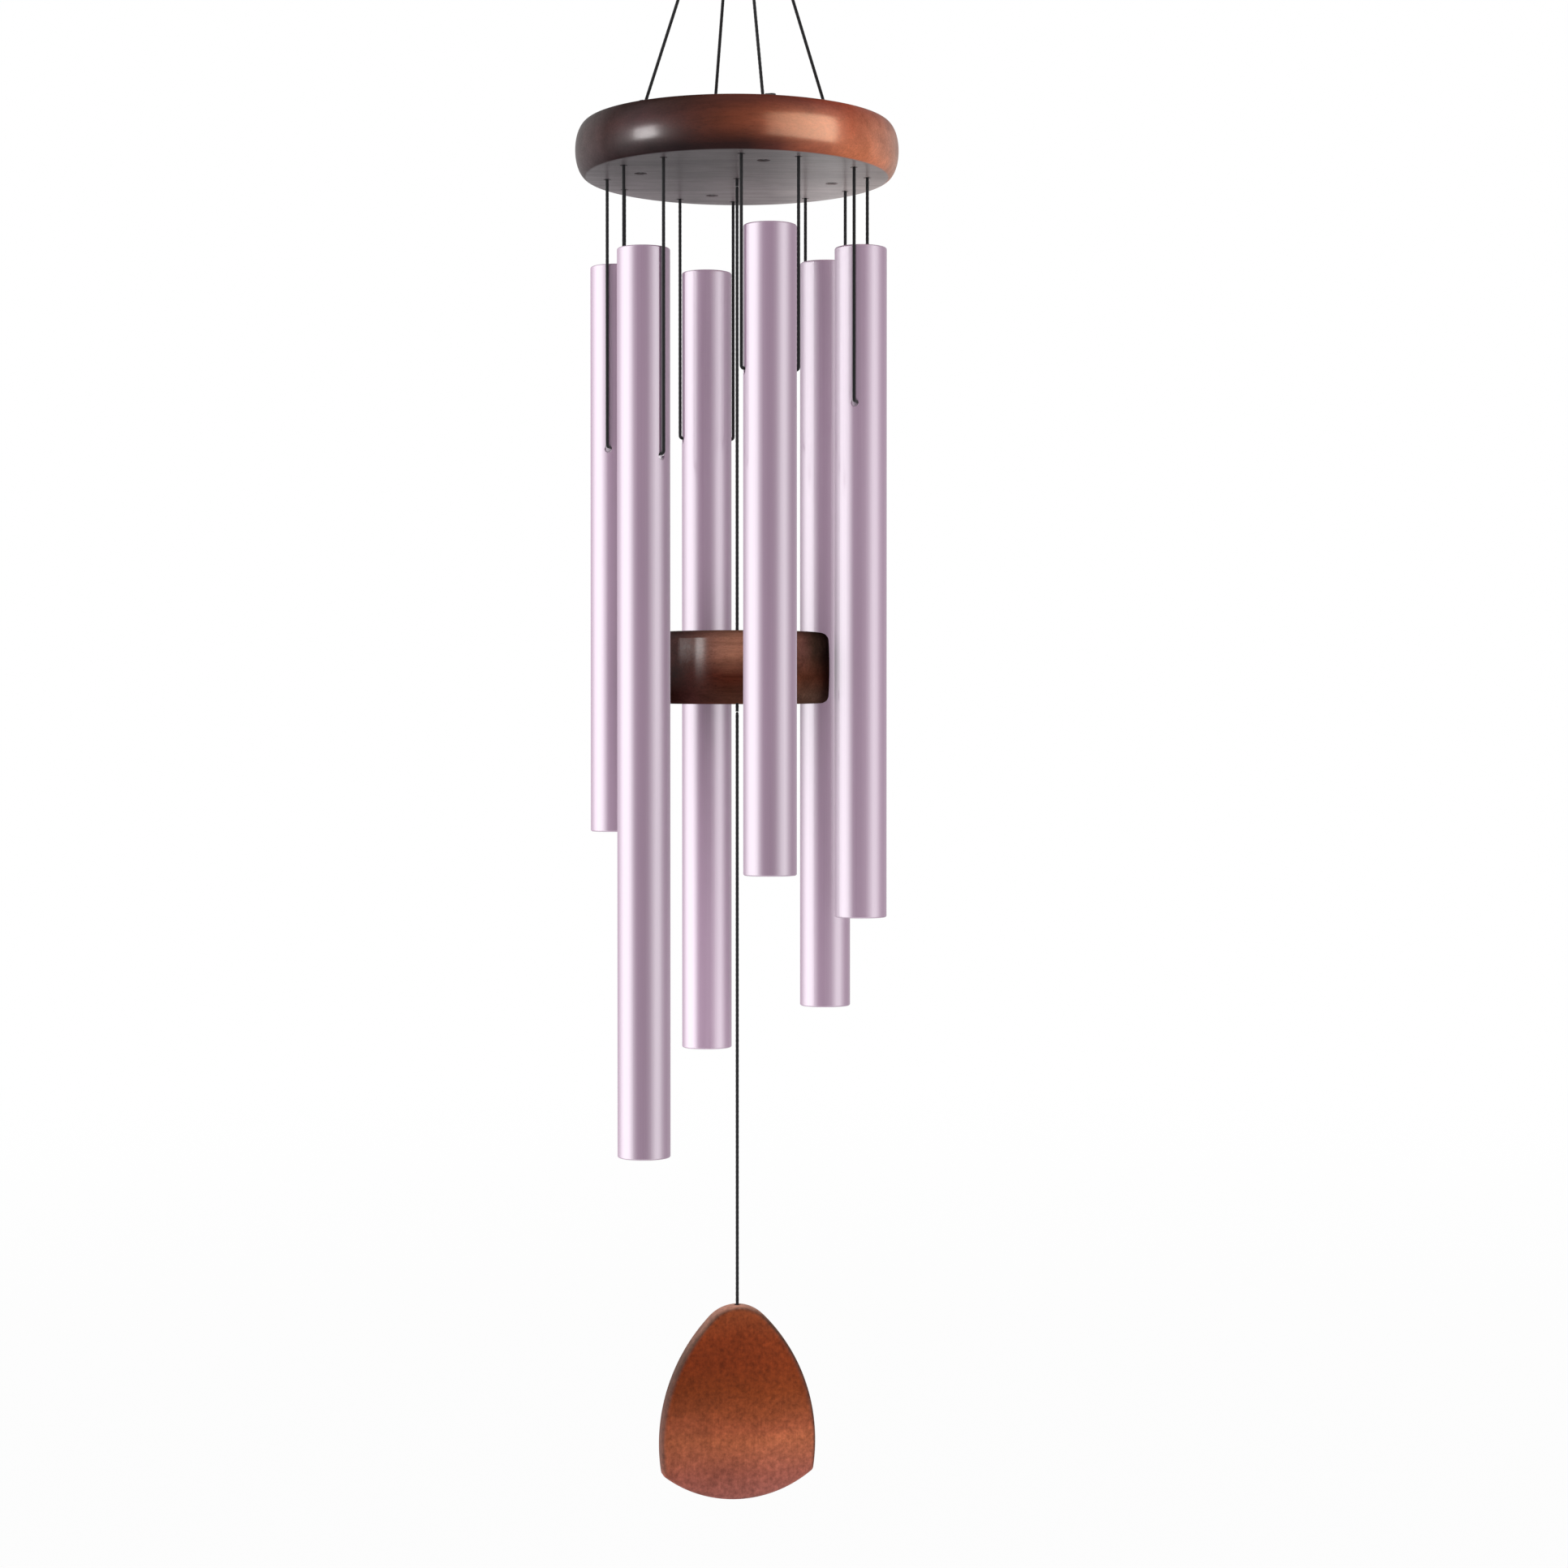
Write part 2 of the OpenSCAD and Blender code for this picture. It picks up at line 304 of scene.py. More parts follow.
def upright(z_start, z_end, x=0, y=0, **ends):
    """A straight vertical length of cord."""
    return braid([(x, y, z_start), (x, y, z_end)], **ends)


def overhand(at, size, height, axis=(0, 0, 1), turn=0.0):
    """A tight overhand knot: a trefoil of cord, size across and height along its axis."""
    t = np.linspace(0, 2 * np.pi, 145)[:-1]
    flat = (size / 2 - CORD_R) / 3.0
    x = flat * (np.sin(t) + 2 * np.sin(2 * t))
    y = flat * (np.cos(t) - 2 * np.cos(2 * t))
    z = -(height / 2 - CORD_R) * np.sin(3 * t)
    cos, sin = math.cos(turn), math.sin(turn)
    path = np.stack([x * cos - y * sin, x * sin + y * cos, z], 1)
    tilt = Vector((0, 0, 1)).rotation_difference(Vector(axis)).to_matrix()
    path = path @ np.array(tilt).T + np.array(at)
    return braid(np.concatenate([path, path[:1]]), closed=True, step=FINE_STEP)


# ---------------------------------------------------------------- shader helpers


class Graph:
    """Builds the node tree of a material or a world."""

    def __init__(self, owner):
        owner.use_nodes = True
        self.tree = owner.node_tree

    def plug(self, socket, value):
        """Links a socket to an input, or sets the input's value."""
        if isinstance(value, bpy.types.NodeSocket):
            self.tree.links.new(value, socket)
        elif socket.type == "RGBA":
            socket.default_value = (*value, 1)
        else:
            socket.default_value = value

    def add(self, kind, *first, **settings):
        """A node. Settings with a capital are inputs, others are properties, and the unnamed
        values go into its first inputs."""
        node = self.tree.nodes.new("ShaderNode" + kind)
        for name, value in settings.items():
            if name[0].islower():
                setattr(node, name, value)
            else:
                self.plug(node.inputs[name.replace("_", " ")], value)
        for socket, value in zip(node.inputs, first):
            self.plug(socket, value)
        return node

    def calc(self, operation, one, two=0.0, clamp=False):
        return self.add("Math", one, two, operation=operation, use_clamp=clamp).outputs[0]

    def split(self, vector):
        return self.add("SeparateXYZ", vector).outputs

    def span(self, value, low, high):
        """0 at low and 1 at high."""
        return self.add("MapRange", From_Min=low, From_Max=high, Value=value).outputs[0]

    def ramp(self, factor, stops):
        """A colour ramp of (position, colour or grey) stops."""
        node = self.add("ValToRGB", factor)
        elements = node.color_ramp.elements
        while len(elements) < len(stops):
            elements.new(0.5)
        for element, (position, colour) in zip(elements, stops):
            element.position = position
            element.color = (*colour, 1) if isinstance(colour, tuple) else (*(colour,) * 3, 1)
        return node.outputs["Color"]

    def mix(self, factor, one, two, mode="MIX"):
        node = self.add("Mix", factor, data_type="RGBA", blend_type=mode)
        self.plug(node.inputs[6], one)
        self.plug(node.inputs[7], two)
        return node.outputs[2]

    def multiply(self, one, two, factor=1.0):
        return self.mix(factor, one, two, "MULTIPLY")

    def mix_shader(self, factor, one, two):
        return self.add("MixShader", factor, one, two).outputs[0]


class Surface(Graph):
    """A material round a Principled BSDF, with textures in object space."""

    def __init__(self, name):
        self.material = bpy.data.materials.new(name)
        super().__init__(self.material)
        self.bsdf = self.tree.nodes["Principled BSDF"]
        self.coord = self.add("TexCoord")

    def set(self, **values):
        for name, value in values.items():
            self.plug(self.bsdf.inputs[name.replace("_", " ")], value)

    def noise(self, scale, detail, rough, distortion=0.0, rotation=(0, 0, 0),
              location=(0, 0, 0)):
        place = self.add("Mapping", Scale=scale, Rotation=rotation, Location=location,
                         Vector=self.coord.outputs["Object"])
        return self.add("TexNoise", Scale=1.0, Detail=detail, Roughness=rough,
                        Distortion=distortion, Vector=place.outputs["Vector"]).outputs["Fac"]

    def bump(self, height, strength, distance, normal=None):
        node = self.add("Bump", Strength=strength, Distance=distance, Height=height)
        if normal is not None:
            self.plug(node.inputs["Normal"], normal)
        return node.outputs["Normal"]

    def position(self):
        return self.split(self.coord.outputs["Object"])

    def normal_z(self):
        return self.split(self.add("NewGeometry").outputs["Normal"])["Z"]

    def across(self, axis, low, high, wobble, seed):
        """0 at low and 1 at high along an axis, with a soft uneven border."""
        share = self.span(self.position()[axis], low, high)
        cloud = self.noise((30,) * 3, detail=3, rough=0.5, location=(seed, 5, 3))
        shift = self.calc("MULTIPLY", self.calc("SUBTRACT", cloud, 0.5), wobble * 2)
        return self.calc("ADD", share, shift, clamp=True)


# ---------------------------------------------------------------- wood


def wood(name, tone, *, along, rough, coat, coat_rough, figure, grain, pores, speck, spec, bump,
         seed, rotation=(0, 0, 0), speck_scale=1150):
    """Stained solid wood under satin lacquer, its fibres and open pores along one axis.
    tone(mat) returns the colour of the stained wood, with any painted light and shade laid into
    it. coat and spec are values, or functions like tone.
    figure, grain, pores and speck are the strengths of the colour's variations."""
    mat = Surface(name)

    def stretched(across, lengthwise, **settings):
        scale = [across] * 3
        scale[along] = lengthwise
        return mat.noise(tuple(scale), rotation=rotation,
                         location=(seed, seed * 0.7, seed * 1.3), **settings)

    def vary(factor, colour, amount):
        stops = [(0.3, 1 - amount), (0.5, 1.0), (0.7, 1 + amount)]
        return mat.multiply(colour, mat.ramp(factor, stops))

    bands = stretched(150, 11, detail=3, rough=0.5, distortion=0.5)
    fibres = stretched(1100, 42, detail=5, rough=0.6)
    dashes = stretched(2600, 260, detail=2, rough=0.5)
    flecks = mat.noise((speck_scale,) * 3, detail=4, rough=0.65, location=(seed, 3, 1))
    cloud = mat.noise((48,) * 3, detail=3, rough=0.5, location=(seed, 1, 2))

    colour = vary(bands, tone(mat), figure)
    colour = vary(fibres, colour, grain)
    colour = vary(flecks, colour, speck)
    colour = vary(cloud, colour, 0.10)
    pore = mat.ramp(dashes, [(0.33, 1.0), (0.41, 0.0)])
    colour = mat.mix(mat.calc("MULTIPLY", pore, pores), colour,
                     mat.multiply(colour, (0.35, 0.30, 0.28)))

    shine = mat.ramp(fibres, [(0.25, rough + 0.07), (0.8, rough - 0.05)])
    normal = mat.bump(fibres, strength=0.10 * bump, distance=0.2 * MM)
    normal = mat.bump(mat.ramp(dashes, [(0.33, 0.0), (0.43, 1.0)]),
                      strength=0.16 * bump, distance=0.12 * MM, normal=normal)
    normal = mat.bump(flecks, strength=0.05 * bump, distance=0.1 * MM, normal=normal)
    mat.set(Base_Color=colour, Roughness=shine, Normal=normal,
            Coat_Weight=coat(mat) if callable(coat) else coat,
            Coat_Roughness=coat_rough, Coat_IOR=1.5,
            Specular_IOR_Level=spec(mat) if callable(spec) else spec,
            Coat_Normal=mat.bump(fibres, strength=0.02 * bump, distance=0.2 * MM))
    return mat.material


# Stained wall of the disc, from -X to +X, with painted light and shade in it: at mid height, by
# the lower edge, by the upper edge. The change from dark at -X to orange at +X is partly stained
# wood and partly painted light from the +X side, and the lower and upper edges are darker as
# painted shade.
DISC_WALL_STAIN_AND_LIGHT = [
    (0.0, (0.075, 0.052, 0.052)), (0.12, (0.054, 0.023, 0.022)), (0.22, (0.056, 0.014, 0.016)),
    (0.34, (0.080, 0.023, 0.019)), (0.46, (0.120, 0.032, 0.018)), (0.58, (0.260, 0.062, 0.030)),
    (0.72, (0.410, 0.105, 0.045)), (0.85, (0.500, 0.112, 0.048)), (0.92, (0.600, 0.215, 0.130)),
    (1.0, (0.480, 0.260, 0.200))]
DISC_FOOT_STAIN_LIGHT_AND_SHADE = [
    (0.0, (0.075, 0.052, 0.055)), (0.14, (0.036, 0.020, 0.021)), (0.34, (0.016, 0.007, 0.008)),
    (0.53, (0.032, 0.010, 0.009)), (0.62, (0.110, 0.026, 0.018)), (0.76, (0.470, 0.120, 0.055)),
    (0.84, (0.700, 0.200, 0.090)), (0.91, (0.760, 0.240, 0.120)), (1.0, (0.560, 0.300, 0.220))]
DISC_BROW_STAIN_LIGHT_AND_SHADE = [
    (0.0, (0.060, 0.045, 0.044)), (0.22, (0.040, 0.022, 0.021)), (0.35, (0.048, 0.019, 0.015)),
    (0.55, (0.130, 0.034, 0.024)), (0.70, (0.200, 0.044, 0.028)), (0.84, (0.380, 0.085, 0.050)),
    (1.0, (0.420, 0.170, 0.120))]
# Unstained wood of the underside and holes, from -X to +X, coloured grey as a painted reflection
# and lighter towards +X as painted light; and its painted shading from -Y to +Y
DISC_PLAIN_SHEEN = [
    (0.0, (0.145, 0.128, 0.134)), (0.35, (0.096, 0.083, 0.087)), (0.6, (0.140, 0.118, 0.120)),
    (0.8, (0.300, 0.262, 0.258)), (1.0, (0.350, 0.300, 0.285))]
DISC_PLAIN_SHADE_Y = [(0.25, 0.43), (0.42, 0.49), (0.75, 0.90)]
DISC_PLAIN_SHEEN_GAIN = 2.4
# Lacquer round the wall, from -X to +X
DISC_SHINE = [
    (0.0, 0.38), (0.06, 0.17), (0.14, 0.05), (0.28, 0.09), (0.45, 0.10), (0.58, 0.15),
    (0.68, 0.36), (0.80, 0.60), (0.88, 0.35), (0.94, 0.22), (1.0, 0.40)]


def disc_tone(mat):
    """The wall runs from dark at -X to orange at +X, partly stained wood and partly painted light
    from the +X side, and both edges of the wall are darker as painted shade.
    The underside and the holes are unstained wood, coloured with a grey painted reflection that
    grows lighter towards +X as painted light."""
    side = mat.across("X", -DISC_R, DISC_R, wobble=0.04, seed=2.0)
    height = mat.across("Z", DISC_LO, DISC_HI, wobble=0.05, seed=6.0)
    # painted light and shade round the wall: orange towards +X, darker lower and upper edges
    wall, foot, brow = [mat.ramp(side, stops) for stops in (DISC_WALL_STAIN_AND_LIGHT, DISC_FOOT_STAIN_LIGHT_AND_SHADE, DISC_BROW_STAIN_LIGHT_AND_SHADE)]
    stain_and_light = mat.mix(mat.ramp(height, [(0.08, 1.0), (0.48, 0.0)]), wall, foot)
    stain_and_light = mat.mix(mat.ramp(height, [(0.60, 0.0), (0.90, 1.0)]), stain_and_light, brow)
    depth = mat.across("Y", -DISC_R, DISC_R, wobble=0.04, seed=4.0)
    # painted reflection and painted light on the unstained underside and holes
    plain_sheen = mat.multiply(mat.ramp(side, DISC_PLAIN_SHEEN), mat.ramp(depth, DISC_PLAIN_SHADE_Y))
    plain_sheen = mat.multiply(plain_sheen, (DISC_PLAIN_SHEEN_GAIN,) * 3)
    down = mat.span(mat.normal_z(), -0.90, -0.99)
    # well inside the wall and below the top face
    at = mat.position()
    reach = mat.calc("SQRT", mat.calc("ADD", mat.calc("POWER", at["X"], 2.0),
                                      mat.calc("POWER", at["Y"], 2.0)))
    inner = mat.calc("MULTIPLY", mat.calc("LESS_THAN", reach, DISC_R - 9 * MM),
                     mat.calc("LESS_THAN", at["Z"], DISC_HI - 0.8 * MM))
    return mat.mix(mat.calc("MAXIMUM", down, inner), stain_and_light, plain_sheen)


def disc_gloss(mat, side):
    """1, and 0 where the middle of the wall turns edge-on, so it has no hard glare there."""
    facing = mat.add("LayerWeight", Blend=0.5).outputs["Facing"]
    soft = mat.ramp(facing, [(0.31, 1.0), (0.53, 0.0)])
    ends = mat.ramp(side, [(0.05, 1.0), (0.16, 0.0), (0.84, 0.0), (0.95, 1.0)])
    flat = mat.calc("GREATER_THAN", mat.calc("ABSOLUTE", mat.normal_z()), 0.9)
    return mat.calc("MAXIMUM", flat, mat.calc("MAXIMUM", soft, ends))


def disc_coat(mat):
    side = mat.across("X", -DISC_R, DISC_R, wobble=0.02, seed=2.0)
    return mat.calc("MULTIPLY", mat.ramp(side, DISC_SHINE), disc_gloss(mat, side))


def disc_spec(mat):
    side = mat.across("X", -DISC_R, DISC_R, wobble=0.02, seed=2.0)
    return mat.calc("MULTIPLY", disc_gloss(mat, side), 0.04)


# Stain round the clapper's upper and lower parts, and its lacquer, from -X to +X. The upper
# ramp's pale brown near the middle is a painted highlight, and both ramps fall to near black at
# +X as painted shade.
CLAPPER_UPPER_LIT = [
    (0.0, (0.060, 0.030, 0.028)), (0.18, (0.110, 0.044, 0.036)), (0.34, (0.250, 0.105, 0.075)),
    (0.50, (0.400, 0.178, 0.108)), (0.70, (0.240, 0.105, 0.070)), (0.85, (0.150, 0.061, 0.048)),
    (0.92, (0.048, 0.026, 0.018)), (1.0, (0.012, 0.006, 0.006))]
CLAPPER_LOWER = [
    (0.0, (0.024, 0.009, 0.007)), (0.18, (0.036, 0.012, 0.009)), (0.27, (0.085, 0.030, 0.026)),
    (0.48, (0.112, 0.042, 0.026)), (0.80, (0.125, 0.062, 0.042)), (0.91, (0.090, 0.048, 0.034)),
    (1.0, (0.020, 0.009, 0.008))]
CLAPPER_SHINE = [(0.0, 0.08), (0.25, 0.20), (0.6, 0.16), (0.80, 0.03), (0.9, 0.0)]


def clapper_tone(mat):
    """Dark wood, with a lighter band in the upper part that is a painted highlight, painted shade
    towards +X and at the top edge, and a darker, redder band below the highlight.
    """
    side = mat.across("X", -CLAP_R, CLAP_R, wobble=0.05, seed=4.0)
    height = mat.across("Z", CLAP_LO, CLAP_HI, wobble=0.10, seed=7.0)
    # the upper ramp holds a painted highlight; both ramps darken towards +X as painted shade
    upper, lower = mat.ramp(side, CLAPPER_UPPER_LIT), mat.ramp(side, CLAPPER_LOWER)
    deep = mat.multiply(lower, (1.0, 0.62, 0.50))
    lower = mat.mix(mat.ramp(height, [(0.10, 0.0), (0.34, 1.0)]), lower, deep)
    colour = mat.mix(mat.ramp(height, [(0.38, 0.0), (0.70, 1.0)]), lower, upper)
    # painted shade: darker towards the top edge
    return mat.multiply(colour, mat.ramp(height, [(0.88, 1.0), (1.0, 0.45)]))


def clapper_coat(mat):
    side = mat.ramp(mat.across("X", -CLAP_R, CLAP_R, wobble=0.02, seed=4.0), CLAPPER_SHINE)
    height = mat.across("Z", CLAP_LO, CLAP_HI, wobble=0.04, seed=3.0)
    return mat.multiply(side, mat.ramp(height, [(0.12, 0.0), (0.40, 1.0)]))


# Stain up the sail, its change from -X to +X, and the painted light and shade on its edge by the
# Z of the surface normal
SAIL_STAIN = [
    (0.0, (0.410, 0.135, 0.110)), (0.14, (0.430, 0.120, 0.078)), (0.24, (0.500, 0.137, 0.068)),
    (0.31, (0.530, 0.143, 0.061)), (0.38, (0.440, 0.106, 0.045)), (0.46, (0.330, 0.073, 0.024)),
    (0.56, (0.275, 0.052, 0.012)), (0.70, (0.255, 0.041, 0.009)), (0.84, (0.275, 0.046, 0.011)),
    (1.0, (0.345, 0.080, 0.026))]
SAIL_SIDES = [(0.15, (0.90, 0.90, 0.92)), (0.5, (0.97, 0.97, 0.97)), (0.78, (1.12, 1.18, 1.25))]
SAIL_EDGE_LIGHT = [
    (0.0, (0.190, 0.066, 0.042)), (0.25, (0.128, 0.047, 0.030)), (0.45, (0.116, 0.052, 0.033)),
    (0.62, (0.235, 0.108, 0.074)), (0.85, (0.470, 0.215, 0.148)), (0.97, (0.640, 0.290, 0.200))]


def sail_tone(mat):
    """Red-brown stain, paler in a band above the foot and towards +X."""
    tone = mat.ramp(mat.across("Z", SAIL_LO, SAIL_HI, wobble=0.06, seed=9.0), SAIL_STAIN)
    side = mat.across("X", -0.5 * SAIL_W, 0.5 * SAIL_W, wobble=0.06, seed=6.0)
    tone = mat.multiply(tone, mat.ramp(side, SAIL_SIDES))
    # painted light and shade on the edge: pale where it faces up, as light from above falls on
    # it, and darker and dull down the sides
    front = (math.sin(SAIL_TURN), -math.cos(SAIL_TURN), 0.0)
    normal = mat.coord.outputs["Normal"]
    face = mat.add("VectorMath", normal, front, operation="DOT_PRODUCT").outputs["Value"]
    off_face = mat.ramp(mat.calc("ABSOLUTE", face), [(0.70, 1.0), (0.985, 0.0)])
    rise = mat.split(normal)["Z"]
    # painted light on the edge where it faces up, painted shade down its sides
    edge = mat.ramp(rise, SAIL_EDGE_LIGHT)
    upper = mat.ramp(mat.calc("ADD", rise, 0.5), [(0.15, 0.0), (0.45, 1.0)])
    return mat.mix(mat.calc("MULTIPLY", off_face, upper), tone, edge)


# ---------------------------------------------------------------- metal and cord


def anodised():
    """Drawn aluminium: a dyed anodised layer over bright metal, with fine lengthwise lines."""
    mat = Surface("anodised_lavender")
    lines = mat.noise((1700, 1700, 4), detail=4, rough=0.6)
    fine = mat.noise((6000, 6000, 14), detail=2, rough=0.6)
    cloud = mat.noise((26, 26, 7), detail=3, rough=0.5)
    dye = mat.ramp(lines, [(0.25, (0.560, 0.350, 0.515)), (0.5, (0.590, 0.372, 0.545)),
                           (0.8, (0.625, 0.400, 0.580))])
    dye = mat.multiply(dye, mat.ramp(cloud, [(0.3, 0.95), (0.7, 1.04)]))
    rough = mat.ramp(fine, [(0.3, 0.15), (0.7, 0.21)])
    normal = mat.bump(lines, strength=0.018, distance=0.1 * MM)
    normal = mat.bump(fine, strength=0.020, distance=0.05 * MM, normal=normal)
    mat.set(Base_Color=dye, Roughness=0.55, Normal=normal, Coat_Weight=0.0,
            Specular_IOR_Level=0.2)
    bright = mat.ramp(lines, [(0.25, (0.88, 0.86, 0.90)), (0.8, (0.95, 0.93, 0.96))])
    metal = mat.add("BsdfPrincipled", Base_Color=bright, Metallic=1.0, Roughness=rough,
                    Normal=normal)
    metal_share = 0.43
    both = mat.mix_shader(metal_share, mat.bsdf.outputs[0], metal.outputs[0])
    mat.plug(mat.tree.nodes["Material Output"].inputs["Surface"], both)
    return mat.material


def cord_black():
    """Braided polyester: yarns with a slight sheen, and fibres finer than the yarns."""
    mat = Surface("cord_black")
    fibre = mat.noise((5200,) * 3, detail=4, rough=0.7)
    tone = mat.noise((700,) * 3, detail=2, rough=0.5)
    colour = mat.ramp(fibre, [(0.3, (0.006, 0.006, 0.007)), (0.6, (0.018, 0.018, 0.020)),
                              (0.85, (0.05, 0.05, 0.055))])
    colour = mat.multiply(colour, mat.ramp(tone, [(0.3, 0.7), (0.7, 1.25)]), factor=0.5)
    mat.set(Base_Color=colour, Roughness=mat.ramp(fibre, [(0.3, 0.85), (0.8, 0.6)]),
            Normal=mat.bump(fibre, strength=0.4, distance=0.1 * MM),
            Sheen_Weight=0.25, Sheen_Roughness=0.5, Specular_IOR_Level=0.3)
    return mat.material


def ring_steel():
    """Drawn wire: fine lines, a heat tint by the weld at the top, and a few dull spots."""
    mat = Surface("ring_steel")
    lines = mat.noise((2600, 900, 2600), detail=3, rough=0.6)
    spots = mat.noise((420,) * 3, detail=4, rough=0.6)
    colour = mat.ramp(lines, [(0.3, (0.43, 0.44, 0.46)), (0.7, (0.62, 0.63, 0.65))])
    colour = mat.multiply(colour, mat.ramp(spots, [(0.35, 0.72), (0.6, 1.0)]), factor=0.5)
    weld = mat.span(mat.position()["Z"], 8.5 * MM, 12.5 * MM)
    colour = mat.mix(mat.calc("MULTIPLY", weld, 0.55), colour, (0.33, 0.24, 0.15))
    mat.set(Base_Color=colour, Metallic=1.0,
            Roughness=mat.ramp(spots, [(0.3, 0.42), (0.7, 0.26)]),
            Normal=mat.bump(lines, strength=0.15, distance=0.1 * MM))
    return mat.material


CORD_MAT = cord_black()
TUBE_MAT = anodised()
RING_MAT = ring_steel()
DISC_MAT = wood("stained_wood_disc", disc_tone, along=0, rotation=(0, 0, math.radians(6)),
                rough=0.42, coat=disc_coat, coat_rough=0.20, figure=0.15, grain=0.14,
                pores=0.25, speck=0.06, spec=disc_spec, bump=0.5, seed=3.1)
CLAPPER_MAT = wood("stained_wood_clapper", clapper_tone, along=0,
                   rotation=(0, math.radians(20), math.radians(35)),
                   rough=0.42, coat=clapper_coat, coat_rough=0.20, figure=0.24, grain=0.18,
                   pores=0.4, speck=0.08, spec=0.0, bump=0.7, seed=8.7)
SAIL_MAT = wood("stained_wood_sail", sail_tone, along=2, rough=0.50, coat=0.06,
                coat_rough=0.40, figure=0.06, grain=0.06, pores=0.20, speck=0.34,
                speck_scale=420, spec=0.12, bump=0.8, seed=5.2)


def place(ob, body, slot, node):
    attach(ob, body)
    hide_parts(node)
    return ob


def cord_piece(name, parts, body, node):
    place(new_mesh(name, *join_parts(parts), CORD_MAT, 60), body, "cord", node)


# ---------------------------------------------------------------- ring, hitch and gather knot

RING_SEGMENTS, WIRE_SEGMENTS = 160, 28
# a shallow groove on each side of the weld at the ring's top: degrees from the top, and depth
GROOVE_AT, GROOVE_WIDTH, GROOVE_DEPTH = 3.4, 1.1, 0.045

GATHER_TURNS = 6
GATHER_WRAP_R = 2.45 * MM
GATHER_STRAND_R = 1.15 * MM


def build_ring():
    verts = []
    for i in range(RING_SEGMENTS):
        turn = 2 * math.pi * i / RING_SEGMENTS
        off_top = math.degrees(abs((turn - math.pi / 2 + math.pi) % (2 * math.pi) - math.pi))
        groove = -GROOVE_DEPTH * math.exp(-((off_top - GROOVE_AT) / GROOVE_WIDTH) ** 2)
        wire = WIRE_R * (1 + groove)
        for j in range(WIRE_SEGMENTS):
            around = 2 * math.pi * j / WIRE_SEGMENTS
            reach = RING_R + wire * math.cos(around)
            verts.append((reach * math.cos(turn), wire * math.sin(around),
                          reach * math.sin(turn)))
    faces = grid_faces(RING_SEGMENTS, WIRE_SEGMENTS, RING_SEGMENTS)
    ring = new_mesh("hanging_ring_wire", verts, faces, RING_MAT, 180)
    place(ring, "hanger", "ring_steel", "hanging_ring")


def build_hitch():
    """Two turns of cord side by side round the bottom of the ring's wire."""
    loop_r = WIRE_R + CORD_R + 0.06 * MM
    t = np.linspace(0, 2 * np.pi, 73)
    y, z = loop_r * np.cos(t), -RING_R + loop_r * np.sin(t)
    parts = []
    for side in (-1, 1):
        tilt = side * 0.95 * CORD_R / RING_R
        path = np.stack([z * math.sin(tilt), y, z * math.cos(tilt)], 1)
        parts.append(braid(path, closed=True, step=FINE_STEP, phase=side * 0.6))
    cord_piece("hitch_loops", parts, "hitch", "ring_hitch")


def build_gather():
    """Wraps of cord round the four suspension cords."""
    t = np.linspace(0, 1, 420)
    z = GATHER_HI - CORD_R - 0.1 * MM - (GATHER_HI - GATHER_LO - 2 * CORD_R - 0.3 * MM) * t
    turn = 2 * np.pi * GATHER_TURNS * t
    path = np.stack([GATHER_WRAP_R * np.cos(turn), GATHER_WRAP_R * np.sin(turn), z], 1)
    # both ends tuck in towards the axis
    path[:, :2] *= np.clip(np.minimum(t, 1 - t) * 30, 0.35, 1)[:, None]
    parts = [braid(path, step=FINE_STEP, round_start=True, round_end=True)]
    for angle in SUSPENSION_ANGLES:
        parts.append(upright(GATHER_HI - 0.9 * MM, GATHER_LO + 0.1 * MM,
                             GATHER_STRAND_R * math.cos(angle),
                             GATHER_STRAND_R * math.sin(angle), round_start=True))
    cord_piece("gather_wraps", parts, "canopy", "gather_knot")


def build_suspension():
    """Cords from the gather knot through the disc, each with a knot in its counterbore."""
    start_r, bend_r = 1.28 * MM, 5 * MM
    seat = DISC_LO + COUNTERBORE_DEPTH
    for k, angle in enumerate(SUSPENSION_ANGLES):
        cos, sin = math.cos(angle), math.sin(angle)
        x, y = SUSPENSION_R * cos, SUSPENSION_R * sin
        path = round_path([(start_r, 0, GATHER_LO - 0.35 * MM),
                           (SUSPENSION_R, 0, DISC_HI + 1.6 * MM),
                           (SUSPENSION_R, 0, seat - 1.0 * MM)], bend_r)
        path = np.stack([path[:, 0] * cos, path[:, 0] * sin, path[:, 2]], 1)
        parts = [braid(path, phase=k),
                 overhand((x, y, seat - 2.1 * MM), size=4.9 * MM, height=3.9 * MM, turn=k * 0.8),
                 upright(seat - 1.2 * MM, seat - 4.6 * MM, x, y)]
        node = f"suspension_cord_{k + 1}"
        cord_piece(node + "_braid", parts, "canopy", node)


# ---------------------------------------------------------------- top disc

DISC_EDGE = 6 * MM                                   # how far the rounded wall reaches in
DISC_RINGS = [r * MM for r in (20, 40, 56, 68)]      # rings of vertices in the flat faces


def beside_tube(tube, offset, z):
    """A point at offset from a tube's axis, square to the disc's radius."""
    cos, sin = math.cos(tube["angle"]), math.sin(tube["angle"])
    return np.array([tube["x"] - offset * sin, tube["y"] + offset * cos, z])


